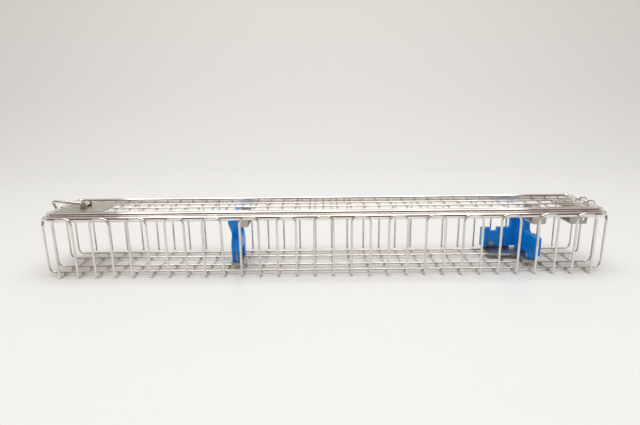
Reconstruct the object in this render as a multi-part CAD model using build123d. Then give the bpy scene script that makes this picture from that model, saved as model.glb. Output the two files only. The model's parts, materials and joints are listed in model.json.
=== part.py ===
from build123d import *
import os
from math import sqrt

# Wire sterilising tray for one rigid telescope, with a hinged wire lid, a latch at the left end
# and two silicone holders inside. Millimetres, +X along the tray, +Y to its back, +Z up.
# The origin is the middle of the tray on the surface that it stands on.

# Driving dimensions of the basket
RIM_LENGTH = 421.0            # between the centrelines of the end rods
RIM_WIDTH = 55.6              # between the centrelines of the side rods
RIM_HEIGHT = 46.0             # centreline of the rim above the surface
RIM_ROD = 4.0
RIM_CORNER = 6.0
WIRE = 1.7                    # basket wire
WELD_SINK = 0.05              # how far welded wires press into each other
SHEET_SINK = 0.01             # how far sheet and hooks press into the wires that they lie on
HOOP_COUNT = 15
HOOP_PITCH = 27.8
HOOP_WIDTH = 14.1             # between the two legs of one hoop
HOOP_TOP_BEND = 5.5
HOOP_FOOT_BEND = 4.0
FLOOR_WIRES = (10.0, 23.0)    # the two floor wires of one loop, from the middle of the tray
END_ARCH_HEIGHT = 45.6        # top of the risers, low enough for the lid to swing past them
END_BEND = 5.0

# Driving dimensions of the lid
LID_INSET = 2.8               # lid rod inside the basket rod, seen from above
LID_ROD = 3.5
LID_WIRE = 1.4
LID_GAP = 0.25                # closed lid rod to basket rod
LID_LONG_WIRES = (-12.7, 0.0, 12.7)
CROSS_PITCH = 11.1
CROSS_GROUPS = (6, 5, 5, 5, 5, 5, 6)
CROSS_OVERHANG = 0.3          # end of a cross wire past the centreline of its side rod
HOOK_CLEARANCE = 0.1          # hinge hook to the basket end rod
HINGE_HOOKS = (-5.7, 5.7)
HOOK_START = 187.0
HOOK_RISE = (203.3, 206.0)    # where a hook starts to climb over the lid's end rod, and ends
HOLD_DOWNS = ((-61.7, 7.4, False), (167.2, 12.4, False), (197.4, 15.8, True))  # x, width, hole
HOLD_DOWN_BOTTOM = 35.0
SLOT_CLEARANCE = 0.1          # slots of a hold-down round the cross wires
HOLD_DOWN_TAPER = 0.78        # width at the bottom over width at the top
HOLD_DOWN_HOLE = 1.1
SHEET = 1.0                   # sheet steel

# Driving dimensions of the latch
LATCH_X = -190.0
PLATE_LEFT = -204.0
PLATE_RIGHT = -169.5
PLATE_HALF_WIDTH = 17.5
PLATE_CORNER = 11.0
EAR_GAP = 7.8                 # between the two ears
EAR_WIDTH = 5.0
PIN = 2.0
PIN_HEAD = 3.6
PIN_HEAD_HEIGHT = 0.8
PIN_CLEARANCE = 0.05
BARREL = 4.0
BARREL_LENGTH = 7.0
LEVER_WIRE = 2.5
LEVER_TIP = (-217.0, 54.3)
LEVER_FOLD = 1.7
HOOK_GAP = 0.4                # latch hook to the basket end rod
HOOK_END = 44.3

# Driving dimensions of the silicone holders
SEAT_HEIGHT = 28.5            # axis of the telescope
SEAT_RADIUS = 5.1
LEFT_HOLDER_X = -69.5
LEFT_HOLDER_THICKNESS = 7.0
LEG_SLOT = 2.2
LEG_HEIGHT = 15.0
FOOT_BAR = 2.0                # steel under both holders
FOOT_BAR_HALF_LENGTH = 12.8
FOOT_BAR_WIDTH = 8.0
FIT_CLEARANCE = 0.02
PLATE_X = 166.8
RIGHT_PLATE_THICKNESS = 5.0
WING_LEFT = 134.0
WING_FRONT = 17.5
WING_BACK = 21.2
WING_TOP = 23.7
WING_BOTTOM = 7.3
UPPER_WING_LEFT = 158.0
BRACKET_FRONT = 4.0
BRACKET_TONGUE = (160.0, -13.5)   # left side and front of the tongue under the plate's foot
BRACKET_TOP = 14.0
RIVET = (142.5, 10.0)         # x and height of the bracket's rivet
RIVET_RADIUS = 1.2
RIVET_HEAD = 2.0
RIVET_HEAD_HEIGHT = 0.7

# Levels and places that follow
rim_x = RIM_LENGTH / 2
rim_y = RIM_WIDTH / 2
weld = (RIM_ROD + WIRE) / 2 - WELD_SINK
hoop_y = rim_y + weld
riser_x = rim_x + weld
hoop_top = RIM_HEIGHT + (RIM_ROD - WIRE) / 2
floor_z = WIRE * 1.5 - WELD_SINK
floor_top = floor_z + WIRE / 2
lid_spacing = (RIM_ROD + LID_ROD) / 2 + LID_GAP
lid_z = RIM_HEIGHT + sqrt(lid_spacing**2 - LID_INSET**2)
lid_x = rim_x - LID_INSET
lid_y = rim_y - LID_INSET
cross_z = lid_z - (LID_ROD + LID_WIRE) / 2 + WELD_SINK
long_z = cross_z + LID_WIRE - WELD_SINK
hook_low = cross_z + LID_WIRE - SHEET_SINK
hook_high = lid_z + (LID_ROD + LID_WIRE) / 2 - SHEET_SINK
plate_bottom = long_z + LID_WIRE / 2 - SHEET_SINK
plate_top = plate_bottom + SHEET
latch_z = plate_top + BARREL / 2 + 0.3
bar_bottom = floor_top - SHEET_SINK
bar_top = bar_bottom + FOOT_BAR
foot = bar_top + FIT_CLEARANCE


def bent_rod(path, diameter):
    """Round wire along a smooth path."""
    section = Plane(origin=path @ 0, z_dir=path % 0) * Circle(diameter / 2)
    return sweep(section, path=path)


def straight_rod(start, end, diameter):
    """Round wire between two points."""
    return bent_rod(Wire([Edge.make_line(start, end)]), diameter)


def rounded_frame(half_x, half_y, z, corner, diameter):
    """Closed rectangular frame of round rod, made as two mirrored halves."""
    points = [(0, -half_y, z), (half_x, -half_y, z), (half_x, half_y, z), (0, half_y, z)]
    half = bent_rod(FilletPolyline(*points, radius=corner), diameter)
    return half + mirror(half, about=Plane.YZ)


def block(x_range, y_range, z_range):
    """Rectangular solid between the given limits."""
    size = [high - low for low, high in (x_range, y_range, z_range)]
    centre = [(high + low) / 2 for low, high in (x_range, y_range, z_range)]
    return Pos(*centre) * Box(*size)


def side_profile(points, x, thickness):
    """Solid of an outline in the Y-Z plane, centred on x."""
    outline = make_face(Polyline(*[(x - thickness / 2, y, z) for y, z in points], close=True))
    return extrude(outline, amount=thickness, dir=(1, 0, 0))


def rod_along_x(radius, y, z, x, length):
    return Pos(x, y, z) * Rot(0, 90, 0) * Cylinder(radius, length)


def rod_along_y(radius, x, z, y, length):
    return Pos(x, y, z) * Rot(90, 0, 0) * Cylinder(radius, length)


# Basket

def make_hoop():
    """One closed wire bent to a U: two floor wires, four legs and an arch on each side."""
    leg = HOOP_WIDTH / 2
    floor = WIRE / 2
    points = [
        (0, -hoop_y, hoop_top), (leg, -hoop_y, hoop_top), (leg, -hoop_y, floor),
        (leg, hoop_y, floor), (leg, hoop_y, hoop_top), (0, hoop_y, hoop_top),
    ]
    bends = [HOOP_TOP_BEND, HOOP_FOOT_BEND, HOOP_FOOT_BEND, HOOP_TOP_BEND]
    half = bent_rod(FilletPolyline(*points, radius=bends), WIRE)
    return half + mirror(half, about=Plane.YZ)


def make_floor_loop(side):
    """Two floor wires that turn up at both ends and close in an arch behind the end rod."""
    inner, outer = (side * y for y in FLOOR_WIRES)
    points = [
        (0, inner, floor_z), (riser_x, inner, floor_z), (riser_x, inner, END_ARCH_HEIGHT),
        (riser_x, outer, END_ARCH_HEIGHT), (riser_x, outer, floor_z), (0, outer, floor_z),
    ]
    bends = [END_BEND, HOOP_TOP_BEND, HOOP_TOP_BEND, END_BEND]
    half = bent_rod(FilletPolyline(*points, radius=bends), WIRE)
    return half + mirror(half, about=Plane.YZ)


# Silicone holders and their fastening

def make_left_holder():
    """Forked saddle on two split legs."""
    right_side = [
        (12.2, foot), (12.6, 9.0), (14.0, 14.0), (14.0, 20.0), (12.2, 24.5), (8.8, 28.0),
        (21.6, 40.0), (20.6, 42.6), (18.0, 43.8), (3.9, 31.8), (0.0, SEAT_HEIGHT),
    ]
    left_side = [(-y, z) for y, z in reversed(right_side[:-1])]
    x = LEFT_HOLDER_X
    body = side_profile(right_side + left_side, x, LEFT_HOLDER_THICKNESS)
    body -= rod_along_x(SEAT_RADIUS, 0, SEAT_HEIGHT, x, LEFT_HOLDER_THICKNESS + 1)
    body -= block((x - LEG_SLOT / 2, x + LEG_SLOT / 2), (-15, 15), (0, LEG_HEIGHT))
    return body - block((x - 5, x + 5), (-6.5, 6.5), (0, LEG_HEIGHT))


def make_left_holder_bar():
    """Flat bar on the two inner floor wires that carries the left holder."""
    half = FOOT_BAR_WIDTH / 2
    x_range = (LEFT_HOLDER_X - half, LEFT_HOLDER_X + half)
    return block(x_range, (-FOOT_BAR_HALF_LENGTH, FOOT_BAR_HALF_LENGTH), (bar_bottom, bar_top))


def make_right_holder():
    """Upright plate with an open round seat, and a wing that runs back along the tray."""
    plate_outline = [
        (-17.0, 9.6), (-12.6, 9.6), (-12.6, foot), (-6.6, foot), (-4.6, foot + 2.5), (7.6, foot + 2.5),
        (7.6, foot), (WING_BACK, foot), (WING_BACK, 37.6), (18.8, 40.0), (10.4, 40.0),
        (8.4, 36.2), (3.6, 32.8), (0.0, SEAT_HEIGHT), (-3.5, 24.7), (-15.6, 24.7), (-17.0, 23.3),
    ]
    plate = side_profile(plate_outline, PLATE_X, RIGHT_PLATE_THICKNESS)
    plate -= rod_along_x(SEAT_RADIUS, 0, SEAT_HEIGHT, PLATE_X, RIGHT_PLATE_THICKNESS + 1)
    wing = block((WING_LEFT, PLATE_X), (WING_FRONT, WING_BACK), (WING_BOTTOM, WING_TOP))
    wing += block((WING_LEFT, WING_LEFT + 3), (WING_FRONT - 4, WING_BACK), (WING_BOTTOM, WING_TOP))
    wing += block((UPPER_WING_LEFT, PLATE_X), (WING_FRONT, WING_BACK), (WING_TOP, 40.0))
    wing -= block((141.0, 147.0), (WING_FRONT - 1, WING_BACK + 1), (WING_TOP - 3, WING_TOP + 1))
    wing -= rod_along_y(RIVET_RADIUS, *RIVET, WING_BACK, 12)
    return plate + wing


def make_holder_bracket():
    """Steel base under the right holder, with a flange behind the wing that it is riveted to."""
    left = WING_LEFT + 2
    right = PLATE_X + RIGHT_PLATE_THICKNESS / 2
    tongue_left, tongue_front = BRACKET_TONGUE
    flange_front = WING_BACK + FIT_CLEARANCE
    flange_back = flange_front + SHEET
    base = block((left, right), (BRACKET_FRONT, flange_back), (bar_bottom, bar_top))
    base += block((tongue_left, right), (tongue_front, BRACKET_FRONT), (bar_bottom, bar_top))
    flange = block((left, tongue_left), (flange_front, flange_back), (bar_bottom, BRACKET_TOP))
    return base + flange - rod_along_y(RIVET_RADIUS, *RIVET, flange_back, 4)


def make_holder_rivet():
    """Round-headed rivet through the wing and the bracket's flange."""
    front = WING_FRONT
    back = WING_BACK + FIT_CLEARANCE + SHEET
    radius = RIVET_RADIUS - FIT_CLEARANCE
    rivet = rod_along_y(radius, *RIVET, (front + back) / 2, back - front)
    for face, outward in ((front, -1), (back, 1)):
        y = face + outward * (RIVET_HEAD_HEIGHT / 2 + FIT_CLEARANCE)
        rivet += rod_along_y(RIVET_HEAD, *RIVET, y, RIVET_HEAD_HEIGHT + 2 * FIT_CLEARANCE)
    return rivet


# Lid

def make_lid_long_wire(y, lid_rim):
    """Wire along the lid, cut to the end rods that it butts against."""
    return straight_rod((-lid_x, y, long_z), (lid_x, y, long_z), LID_WIRE) - lid_rim


def cross_wire_places():
    """Where each cross wire lies along the tray."""
    last = sum(CROSS_GROUPS) // 2
    return [CROSS_PITCH * i for i in range(-last, last + 1)]


def make_cross_wires(first, count):
    """Neighbouring wires across the lid, welded under its side rods and inside the basket's rim."""
    half = lid_y + CROSS_OVERHANG
    places = cross_wire_places()[first:first + count]
    wires = [straight_rod((x, -half, cross_z), (x, half, cross_z), LID_WIRE) for x in places]
    return Compound(children=wires)


def make_hinge_hook(y):
    """Wire on two cross wires that climbs over the lid's end rod and curls round the basket's."""
    radius = RIM_ROD / 2 + HOOK_CLEARANCE + LID_WIRE / 2
    rise_start, rise_end = HOOK_RISE
    drop = rim_x + radius
    points = [
        (HOOK_START, y, hook_low), (rise_start, y, hook_low), (rise_end, y, hook_high),
        (drop, y, hook_high), (drop, y, RIM_HEIGHT),
    ]
    arm = FilletPolyline(*points, radius=[2, 2, 3])
    curl = ThreePointArc(
        (drop, y, RIM_HEIGHT), (rim_x, y, RIM_HEIGHT - radius), (rim_x - radius, y, RIM_HEIGHT)
    )
    return bent_rod(Wire(arm.edges() + curl.edges()), LID_WIRE)


def make_hold_down(x, width, hole):
    """Sheet channel between two lid wires that keeps the telescope in its seat."""
    front = LID_LONG_WIRES[0] - LID_WIRE / 2 + SHEET_SINK
    back = LID_LONG_WIRES[1] + LID_WIRE / 2 - SHEET_SINK
    top = long_z + LID_WIRE / 4
    outer = block((x - width, x + width), (front - SHEET, back + SHEET), (HOLD_DOWN_BOTTOM, top))
    inner = block((x - width, x + width), (front, back), (HOLD_DOWN_BOTTOM + SHEET, top + 1))
    channel = outer - inner
    low = width * HOLD_DOWN_TAPER / 2
    high = width / 2
    sides = [(x - high, top), (x + high, top), (x + low, HOLD_DOWN_BOTTOM), (x - low, HOLD_DOWN_BOTTOM)]
    face = make_face(Polyline(*[(px, -30, pz) for px, pz in sides], close=True))
    channel &= extrude(face, amount=60, dir=(0, 1, 0))
    slot = LID_WIRE / 2 + SLOT_CLEARANCE
    for wire_x in cross_wire_places():
        channel -= block((wire_x - slot, wire_x + slot), (-30, 30), (cross_z - slot, top + 1))
    if hole:
        channel -= rod_along_y(HOLD_DOWN_HOLE, x + low - 2.4, HOLD_DOWN_BOTTOM + 3.6, front, 4)
    return channel


# Latch

def make_latch_plate():
    """Sheet plate on the cross wires, round at its right end, with two ears for the pin."""
    length = PLATE_RIGHT - PLATE_LEFT
    outline = Pos((PLATE_LEFT + PLATE_RIGHT) / 2, 0) * Rectangle(length, 2 * PLATE_HALF_WIDTH)
    right_corners = outline.vertices().sort_by(Axis.X)[-2:]
    outline = fillet(right_corners, PLATE_CORNER)
    plate = Pos(0, 0, plate_bottom) * extrude(outline, amount=SHEET)
    for side in (-1, 1):
        y = side * (EAR_GAP + SHEET) / 2
        ear = block(
            (LATCH_X - EAR_WIDTH / 2, LATCH_X + EAR_WIDTH / 2),
            (y - SHEET / 2, y + SHEET / 2), (plate_bottom, latch_z),
        )
        plate += ear + rod_along_y(EAR_WIDTH / 2, LATCH_X, latch_z, y, SHEET)
    return plate - rod_along_y(PIN / 2 + FIT_CLEARANCE, LATCH_X, latch_z, 0, 20)


def make_latch_pin():
    """Headed pin through both ears."""
    span = EAR_GAP + 2 * SHEET + 2 * FIT_CLEARANCE
    pin = rod_along_y(PIN / 2, LATCH_X, latch_z, 0, span)
    for side in (-1, 1):
        y = side * (span + PIN_HEAD_HEIGHT) / 2
        pin += rod_along_y(PIN_HEAD / 2, LATCH_X, latch_z, y, PIN_HEAD_HEIGHT)
    return pin


def make_latch_lever():
    """Wire lever on a barrel: over the end of the tray, folded back, hooked over the end rod."""
    barrel = rod_along_y(BARREL / 2, LATCH_X, latch_z, 0, BARREL_LENGTH)
    start_x = LATCH_X - PIN / 2 - 0.25
    hook_x = -rim_x - RIM_ROD / 2 - HOOK_GAP - LEVER_WIRE / 2
    points = [
        (start_x, 0, latch_z), (LEVER_TIP[0], 0, LEVER_TIP[1]), (hook_x, 0, RIM_HEIGHT + 2.2),
        (hook_x, 0, RIM_HEIGHT - 0.8), (hook_x + 0.25, 0, HOOK_END),
    ]
    lever = bent_rod(FilletPolyline(*points, radius=[LEVER_FOLD, 3.0, 1.5]), LEVER_WIRE)
    bore = rod_along_y(PIN / 2 + PIN_CLEARANCE, LATCH_X, latch_z, 0, 2 * BARREL_LENGTH)
    return barrel + lever - bore


def make_parts():
    """Every sub-part by its node name."""
    parts = {"basket_rim": rounded_frame(rim_x, rim_y, RIM_HEIGHT, RIM_CORNER, RIM_ROD)}
    hoop = make_hoop()
    for i in range(HOOP_COUNT):
        parts[f"hoop_{i + 1:02d}"] = Pos((i - (HOOP_COUNT - 1) / 2) * HOOP_PITCH, 0, 0) * hoop
    parts["floor_loop_front"] = make_floor_loop(-1)
    parts["floor_loop_back"] = make_floor_loop(1)
    parts["left_holder"] = make_left_holder()
    parts["left_holder_bar"] = make_left_holder_bar()
    parts["right_holder"] = make_right_holder()
    parts["holder_bracket"] = make_holder_bracket()
    parts["holder_rivet"] = make_holder_rivet()
    lid_rim = rounded_frame(lid_x, lid_y, lid_z, RIM_CORNER - LID_INSET, LID_ROD)
    parts["lid_rim"] = lid_rim
    for i, y in enumerate(LID_LONG_WIRES):
        parts[f"lid_long_wire_{i + 1}"] = make_lid_long_wire(y, lid_rim)
    first = 0
    for i, count in enumerate(CROSS_GROUPS):
        parts[f"lid_cross_wires_{i + 1}"] = make_cross_wires(first, count)
        first += count
    parts["hinge_hook_front"] = make_hinge_hook(HINGE_HOOKS[0])
    parts["hinge_hook_back"] = make_hinge_hook(HINGE_HOOKS[1])
    for i, (x, width, hole) in enumerate(HOLD_DOWNS):
        parts[f"hold_down_{i + 1}"] = make_hold_down(x, width, hole)
    parts["latch_plate"] = make_latch_plate()
    parts["latch_pin"] = make_latch_pin()
    parts["latch_lever"] = make_latch_lever()
    return parts


os.makedirs("parts", exist_ok=True)
for node, shape in make_parts().items():
    export_step(shape, f"parts/{node}.step")
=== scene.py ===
import bmesh
import bpy
import json
from math import cos, pi, sin
from mathutils import Matrix, Vector


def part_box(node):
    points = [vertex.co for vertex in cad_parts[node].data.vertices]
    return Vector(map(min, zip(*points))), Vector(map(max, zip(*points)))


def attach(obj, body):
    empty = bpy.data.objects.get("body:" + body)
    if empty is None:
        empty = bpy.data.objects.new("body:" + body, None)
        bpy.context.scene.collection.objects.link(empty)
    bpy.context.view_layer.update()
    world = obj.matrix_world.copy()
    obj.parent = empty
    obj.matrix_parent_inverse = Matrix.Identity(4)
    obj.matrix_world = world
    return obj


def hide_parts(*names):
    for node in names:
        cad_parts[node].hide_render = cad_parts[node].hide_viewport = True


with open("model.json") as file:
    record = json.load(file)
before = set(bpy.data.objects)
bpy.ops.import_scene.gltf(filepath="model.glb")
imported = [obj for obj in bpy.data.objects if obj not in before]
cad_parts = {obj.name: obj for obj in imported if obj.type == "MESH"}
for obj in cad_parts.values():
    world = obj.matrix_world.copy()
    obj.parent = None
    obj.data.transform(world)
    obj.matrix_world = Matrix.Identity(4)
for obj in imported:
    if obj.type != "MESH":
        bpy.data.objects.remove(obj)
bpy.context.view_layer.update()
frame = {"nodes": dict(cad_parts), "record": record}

MM = 0.001

# Wires of the basket and the lid, in metres
lid_low, lid_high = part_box("lid_rim")
hoops = sorted(name for name in frame["nodes"] if name.startswith("hoop_"))
cross_groups = sorted(name for name in frame["nodes"] if name.startswith("lid_cross_wires_"))
long_wires = sorted(name for name in frame["nodes"] if name.startswith("lid_long_wire_"))
cross_low, cross_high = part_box(cross_groups[0])
WIRE = 1.7 * MM
LID_WIRE = cross_high.z - cross_low.z
FLOOR_WIRES = (-23 * MM, -10 * MM, 10 * MM, 23 * MM)
CROSS_PITCH = 11.1 * MM
CROSS_COUNT = 37

# Half sizes of the weld beads along x, y and z
FLOOR_BEAD = (1.15 * MM, 1.15 * MM, 0.5 * MM)
ARCH_BEAD = (3.4 * MM, 0.45 * MM, 0.75 * MM)
RISER_BEAD = (0.45 * MM, 0.8 * MM, 1.6 * MM)
LONG_WIRE_BEAD = (0.95 * MM, 0.95 * MM, 0.4 * MM)
SIDE_ROD_BEAD = (1.0 * MM, 0.9 * MM, 0.5 * MM)
RISER_BEAD_DROP = 4.0 * MM    # below the top of an end arch
SIDE_BEAD_INSET = 2.0 * MM    # from the outside of the lid rim
WIRE_END_FILL = 0.98          # rounded wire end over the wire's radius
WIRE_END_BULGE = 0.4          # how far it stands out, over the radius

# Silicone holders
MOULD_VOXEL = 0.4 * MM
MOULD_SMOOTHING = (0.5, 5)    # factor and rounds

# Studio, in metres
TABLE_FRONT = -2.2
TABLE_BEND = 0.5              # where the table starts to curve up
BACKDROP_RADIUS = 0.7
BACKDROP_HEIGHT = 2.6
BACKDROP_STEPS = 24
TABLE_HALF_WIDTH = 4.0
ROOM_OUTLINE = [(-1.3, 0.01), (-1.3, 0.9), (-0.7, 1.5)]
ROOM_HALF_WIDTH = 1.6
WORLD_COLOUR = (1.0, 0.985, 0.96, 1)
WORLD_STRENGTH = 0.62
SOFTBOX_PLACE = (0, -0.05, 1.3)
SOFTBOX_SIZE = (1.4, 0.9)
SOFTBOX_POWER = 12.2

# Camera
EYE = Vector((-1.35, -365.2, 133.6)) * MM
YAW, PITCH, ROLL = -0.0041, 0.2441, -0.0116
SENSOR_WIDTH = 36
LENS = 26.36
CLIP = (0.01, 20)


# Materials

def node_tree(name):
    """A new material with its node tree and its Principled shader."""
    material = bpy.data.materials.new(name)
    material.use_nodes = True
    tree = material.node_tree
    return material, tree, tree.nodes["Principled BSDF"]


def texture(tree, kind, scale, **settings):
    """A texture node on object coordinates, at a scale in features per metre."""
    coordinates = tree.nodes.new("ShaderNodeTexCoord")
    node = tree.nodes.new(kind)
    tree.links.new(coordinates.outputs["Object"], node.inputs["Vector"])
    node.inputs["Scale"].default_value = scale
    for key, value in settings.items():
        node.inputs[key].default_value = value
    return node


def stretched_noise(tree, scale, stretch, detail=3.0):
    """Noise drawn out along one axis, as drawing and brushing leave it."""
    coordinates = tree.nodes.new("ShaderNodeTexCoord")
    mapping = tree.nodes.new("ShaderNodeMapping")
    mapping.inputs["Scale"].default_value = stretch
    noise = tree.nodes.new("ShaderNodeTexNoise")
    noise.inputs["Scale"].default_value = scale
    noise.inputs["Detail"].default_value = detail
    tree.links.new(coordinates.outputs["Object"], mapping.inputs["Vector"])
    tree.links.new(mapping.outputs["Vector"], noise.inputs["Vector"])
    return noise


def ramp(tree, source, stops):
    """Colour ramp on a node's factor; stops are (position, colour)."""
    node = tree.nodes.new("ShaderNodeValToRGB")
    elements = node.color_ramp.elements
    for element, (position, colour) in zip(elements, stops):
        element.position = position
        element.color = (*colour, 1)
    for position, colour in stops[len(elements):]:
        elements.new(position).color = (*colour, 1)
    tree.links.new(source.outputs[0], node.inputs["Fac"])
    return node


def spread(tree, source, low, high, clip=(0.3, 0.7)):
    """A factor mapped to a range of values, flat outside the clip limits."""
    node = tree.nodes.new("ShaderNodeMapRange")
    node.inputs["From Min"].default_value, node.inputs["From Max"].default_value = clip
    node.inputs["To Min"].default_value = low
    node.inputs["To Max"].default_value = high
    tree.links.new(source.outputs[0], node.inputs["Value"])
    return node


def bump(tree, shader, source, distance, strength):
    """Fine relief on a shader from a node's factor."""
    node = tree.nodes.new("ShaderNodeBump")
    node.inputs["Distance"].default_value = distance
    node.inputs["Strength"].default_value = strength
    tree.links.new(source.outputs[0], node.inputs["Height"])
    tree.links.new(node.outputs["Normal"], shader.inputs["Normal"])


def steel(name, dark, light, smooth, rough, grain, stretch=(1, 1, 1), bump_depth=0.00002):
    """Stainless steel: cloudy tone, streaky roughness and a fine grain."""
    material, tree, shader = node_tree(name)
    cloud = texture(tree, "ShaderNodeTexNoise", 55, Detail=4.0, Roughness=0.6)
    tone = ramp(tree, cloud, [(0.35, dark), (0.65, light)])
    tree.links.new(tone.outputs["Color"], shader.inputs["Base Color"])
    streaks = stretched_noise(tree, grain, stretch)
    roughness = spread(tree, streaks, smooth, rough)
    tree.links.new(roughness.outputs["Result"], shader.inputs["Roughness"])
    bump(tree, shader, streaks, bump_depth, 0.35)
    shader.inputs["Metallic"].default_value = 1.0
    return material


def silicone(name):
    """Opaque blue silicone with a soft shine, a painted highlight that makes it a little paler along
    its edges, and a moulded skin.
    """
    material, tree, shader = node_tree(name)
    cloud = texture(tree, "ShaderNodeTexNoise", 90, Detail=5.0, Roughness=0.55)
    tone = ramp(tree, cloud, [(0.3, (0.000, 0.20, 0.72)), (0.7, (0.001, 0.29, 0.88))])
    # Painted highlight: pointiness makes the sharp edges a paler blue, standing in for light caught
    # on them.
    geometry = tree.nodes.new("ShaderNodeNewGeometry")
    painted_edge_highlight = tree.nodes.new("ShaderNodeMapRange")
    painted_edge_highlight.inputs["From Min"].default_value = 0.5
    painted_edge_highlight.inputs["From Max"].default_value = 0.62
    painted_edge_highlight.inputs["To Max"].default_value = 0.35
    mix = tree.nodes.new("ShaderNodeMixRGB")
    mix.inputs["Color2"].default_value = (0.10, 0.36, 0.80, 1)
    tree.links.new(geometry.outputs["Pointiness"], painted_edge_highlight.inputs["Value"])
    tree.links.new(painted_edge_highlight.outputs["Result"], mix.inputs["Fac"])
    tree.links.new(tone.outputs["Color"], mix.inputs["Color1"])
    tree.links.new(mix.outputs["Color"], shader.inputs["Base Color"])
    skin = texture(tree, "ShaderNodeTexNoise", 2600, Detail=3.0)
    roughness = spread(tree, cloud, 0.22, 0.34)
    tree.links.new(roughness.outputs["Result"], shader.inputs["Roughness"])
    bump(tree, shader, skin, 0.00004, 0.4)
    shader.inputs["Specular IOR Level"].default_value = 0.35
    return material


def weld_metal(name):
    """Weld bead: steel with a straw-coloured heat tint in places."""
    material, tree, shader = node_tree(name)
    cloud = texture(tree, "ShaderNodeTexNoise", 220, Detail=4.0)
    stops = [(0.35, (0.50, 0.47, 0.43)), (0.6, (0.62, 0.58, 0.52)), (0.8, (0.55, 0.44, 0.32))]
    tone = ramp(tree, cloud, stops)
    tree.links.new(tone.outputs["Color"], shader.inputs["Base Color"])
    roughness = spread(tree, cloud, 0.28, 0.45)
    tree.links.new(roughness.outputs["Result"], shader.inputs["Roughness"])
    bump(tree, shader, texture(tree, "ShaderNodeTexNoise", 1800, Detail=2.0), 0.00005, 0.4)
    shader.inputs["Metallic"].default_value = 1.0
    return material


def table_top(name):
    """Pale, faintly glossy table top, with painted shade that makes it a little darker and warmer as
    it runs up the backdrop.
    """
    material, tree, shader = node_tree(name)
    coordinates = tree.nodes.new("ShaderNodeTexCoord")
    split = tree.nodes.new("ShaderNodeSeparateXYZ")
    tree.links.new(coordinates.outputs["Object"], split.inputs["Vector"])
    rise = tree.nodes.new("ShaderNodeMapRange")
    rise.inputs["From Min"].default_value = 0.0
    rise.inputs["From Max"].default_value = 0.5
    tree.links.new(split.outputs["Z"], rise.inputs["Value"])
    # Painted shade: the tone gets a little darker and warmer with height up the backdrop.
    stops = [(0.0, (0.80, 0.795, 0.785)), (0.25, (0.79, 0.775, 0.755)), (1.0, (0.80, 0.775, 0.735))]
    tone = ramp(tree, rise, stops)
    tree.links.new(tone.outputs["Color"], shader.inputs["Base Color"])
    cloud = texture(tree, "ShaderNodeTexNoise", 3, Detail=3.0)
    roughness = spread(tree, cloud, 0.22, 0.3, (0.0, 1.0))
    tree.links.new(roughness.outputs["Result"], shader.inputs["Roughness"])
    shader.inputs["Specular IOR Level"].default_value = 0.15
    return material


rod_steel = steel("bright_rod", (0.78, 0.75, 0.71), (0.88, 0.86, 0.83), 0.04, 0.10, 900)
wire_steel = steel("drawn_wire", (0.74, 0.70, 0.645), (0.88, 0.845, 0.80), 0.10, 0.22, 1400)
sheet_steel = steel(
    "satin_sheet", (0.52, 0.49, 0.44), (0.64, 0.61, 0.56), 0.28, 0.46, 500, (0.15, 1, 1), 0.00003
)
weld_steel = weld_metal("weld_bead")
blue_silicone = silicone("blue_silicone")

MATERIAL_BY_SLOT = {
    "rod_steel": rod_steel,
    "wire_steel": wire_steel,
    "sheet_steel": sheet_steel,
    "silicone": blue_silicone,
}
for subpart in frame["record"]["subparts"]:
    mesh = frame["nodes"][subpart["node"]].data
    mesh.materials.clear()
    mesh.materials.append(MATERIAL_BY_SLOT[subpart["material_slot"]])


# Mesh helpers

def finished(name, bm, material, body):
    """Object from a bmesh, riding on a body."""
    bmesh.ops.recalc_face_normals(bm, faces=bm.faces)
    mesh = bpy.data.meshes.new(name)
    bm.to_mesh(mesh)
    bm.free()
    mesh.shade_smooth()
    mesh.materials.append(material)
    piece = bpy.data.objects.new(name, mesh)
    bpy.context.collection.objects.link(piece)
    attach(piece, body)
    return piece


def add_bead(bm, centre, radii):
    """Small melted bead, an ellipsoid of the given half sizes."""
    matrix = Matrix.Translation(centre) @ Matrix.Diagonal((*radii, 1))
    bmesh.ops.create_icosphere(bm, subdivisions=2, radius=1, matrix=matrix)


# Weld beads and wire ends

def cross_wire_places():
    """Where the lid's cross wires lie along the tray."""
    return [(i - (CROSS_COUNT - 1) / 2) * CROSS_PITCH for i in range(CROSS_COUNT)]


def basket_weld_beads():
    """Beads where floor wires cross the hoops and arches meet the rim, and on the risers below it."""
    bm = bmesh.new()
    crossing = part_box("floor_loop_front")[0].z
    for name in hoops:
        low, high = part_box(name)
        legs = (low.x + WIRE / 2, high.x - WIRE / 2)
        for x in legs:
            for y in FLOOR_WIRES:
                add_bead(bm, Vector((x, y, crossing)), FLOOR_BEAD)
        for y in (low.y + WIRE, high.y - WIRE):
            centre = Vector(((low.x + high.x) / 2, y, high.z - WIRE / 2))
            add_bead(bm, centre, ARCH_BEAD)
    for loop in ("floor_loop_front", "floor_loop_back"):
        low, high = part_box(loop)
        for x in (low.x + WIRE, high.x - WIRE):
            for y in (low.y + WIRE / 2, high.y - WIRE / 2):
                add_bead(bm, Vector((x, y, high.z - RISER_BEAD_DROP)), RISER_BEAD)
    return finished("basket_weld_beads", bm, weld_steel, "basket")


def lid_weld_beads():
    """Beads where the cross wires meet the long wires and the side rods."""
    bm = bmesh.new()
    for x in cross_wire_places():
        for name in long_wires:
            wire_low, wire_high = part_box(name)
            y = (wire_low.y + wire_high.y) / 2
            add_bead(bm, Vector((x, y, cross_high.z)), LONG_WIRE_BEAD)
        for y in (lid_low.y + SIDE_BEAD_INSET, lid_high.y - SIDE_BEAD_INSET):
            add_bead(bm, Vector((x, y, cross_high.z)), SIDE_ROD_BEAD)
    return finished("lid_weld_beads", bm, weld_steel, "lid")


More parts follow.
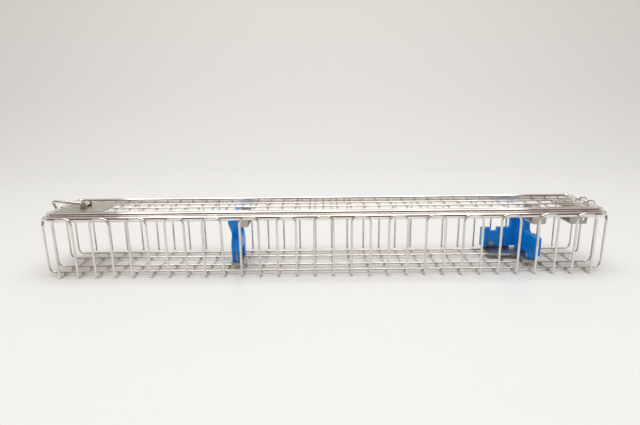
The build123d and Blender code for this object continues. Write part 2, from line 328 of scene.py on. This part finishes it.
def lid_wire_ends():
    """Rounded ends of the cross wires."""
    bm = bmesh.new()
    z = (cross_low.z + cross_high.z) / 2
    radius = LID_WIRE / 2
    fill = radius * WIRE_END_FILL
    for x in cross_wire_places():
        for y in (cross_low.y, cross_high.y):
            add_bead(bm, Vector((x, y, z)), (fill, radius * WIRE_END_BULGE, fill))
    return finished("lid_wire_ends", bm, wire_steel, "lid")


basket_weld_beads()
lid_weld_beads()
lid_wire_ends()


# Silicone holders

def moulded(name, node):
    """A CAD solid with all its edges rounded as a mould leaves them."""
    bm = bmesh.new()
    bm.from_mesh(frame["nodes"][node].data)
    piece = finished(name, bm, blue_silicone, "basket")
    remesh = piece.modifiers.new("fuse", "REMESH")
    remesh.mode = "VOXEL"
    remesh.voxel_size = MOULD_VOXEL
    smooth = piece.modifiers.new("round", "SMOOTH")
    smooth.factor, smooth.iterations = MOULD_SMOOTHING
    depsgraph = bpy.context.evaluated_depsgraph_get()
    mesh = bpy.data.meshes.new_from_object(piece.evaluated_get(depsgraph))
    piece.modifiers.clear()
    piece.data = mesh
    mesh.shade_smooth()
    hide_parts(node)
    return piece


moulded("left_saddle", "left_holder")
moulded("right_saddle", "right_holder")


# Table, light and camera

def stage_mesh(name, outline, half_width, material):
    """Sheet drawn out along X from an outline of (y, z) points, as part of the studio."""
    bm = bmesh.new()
    rows = [[bm.verts.new((x, y, z)) for x in (-half_width, half_width)] for y, z in outline]
    for (a, b), (c, d) in zip(rows, rows[1:]):
        bm.faces.new((a, b, d, c))
    mesh = bpy.data.meshes.new(name)
    bm.to_mesh(mesh)
    bm.free()
    mesh.shade_smooth()
    mesh.materials.append(material)
    sheet = bpy.data.objects.new(name, mesh)
    bpy.context.collection.objects.link(sheet)
    return sheet


def table_and_backdrop():
    """Table top that curves up into a backdrop."""
    outline = [(TABLE_FRONT, 0.0), (TABLE_BEND, 0.0)]
    for i in range(1, BACKDROP_STEPS + 1):
        angle = pi / 2 * i / BACKDROP_STEPS
        y = TABLE_BEND + BACKDROP_RADIUS * sin(angle)
        outline.append((y, BACKDROP_RADIUS * (1 - cos(angle))))
    outline.append((TABLE_BEND + BACKDROP_RADIUS, BACKDROP_HEIGHT))
    stage_mesh("table_and_backdrop", outline, TABLE_HALF_WIDTH, table_top("table_white"))


def brown_card():
    """Brown room in front of the table, which shows in reflections only."""
    material, tree, shader = node_tree("brown_room")
    cloud = texture(tree, "ShaderNodeTexNoise", 4, Detail=2.0)
    tone = ramp(tree, cloud, [(0.3, (0.11, 0.050, 0.036)), (0.7, (0.22, 0.115, 0.085))])
    shader.inputs["Base Color"].default_value = (0, 0, 0, 1)
    tree.links.new(tone.outputs["Color"], shader.inputs["Emission Color"])
    shader.inputs["Emission Strength"].default_value = 1.0
    card = stage_mesh("brown_room", ROOM_OUTLINE, ROOM_HALF_WIDTH, material)
    card.visible_camera = False
    card.visible_diffuse = False
    card.visible_shadow = False


def area_light(name, place, target, size, power):
    """Rectangular softbox at a place, turned to a target."""
    light = bpy.data.lights.new(name, "AREA")
    light.shape = "RECTANGLE"
    light.size, light.size_y = size
    light.energy = power
    lamp = bpy.data.objects.new(name, light)
    lamp.location = place
    direction = Vector(target) - Vector(place)
    lamp.rotation_euler = direction.to_track_quat("-Z", "Y").to_euler()
    bpy.context.collection.objects.link(lamp)


def studio_world():
    """Even pale light from all round."""
    world = bpy.data.worlds.new("studio")
    bpy.context.scene.world = world
    world.use_nodes = True
    background = world.node_tree.nodes["Background"]
    background.inputs["Color"].default_value = WORLD_COLOUR
    background.inputs["Strength"].default_value = WORLD_STRENGTH


def camera():
    """Camera a little above the tray and in front of its middle."""
    forward = Vector((sin(YAW) * cos(PITCH), cos(YAW) * cos(PITCH), -sin(PITCH)))
    level = Vector((cos(YAW), -sin(YAW), 0))
    up = level.cross(forward)
    right = cos(ROLL) * level + sin(ROLL) * up
    tilted_up = -sin(ROLL) * level + cos(ROLL) * up
    data = bpy.data.cameras.new("camera")
    data.sensor_width = SENSOR_WIDTH
    data.lens = LENS
    data.clip_start, data.clip_end = CLIP
    body = bpy.data.objects.new("camera", data)
    axes = Matrix((right, tilted_up, -forward)).transposed()
    body.matrix_world = Matrix.Translation(EYE) @ axes.to_4x4()
    bpy.context.collection.objects.link(body)
    bpy.context.scene.camera = body


table_and_backdrop()
brown_card()
studio_world()
area_light("softbox_top", SOFTBOX_PLACE, (0, 0, 0), SOFTBOX_SIZE, SOFTBOX_POWER)
camera()

scene = bpy.context.scene
scene.view_settings.view_transform = "Standard"
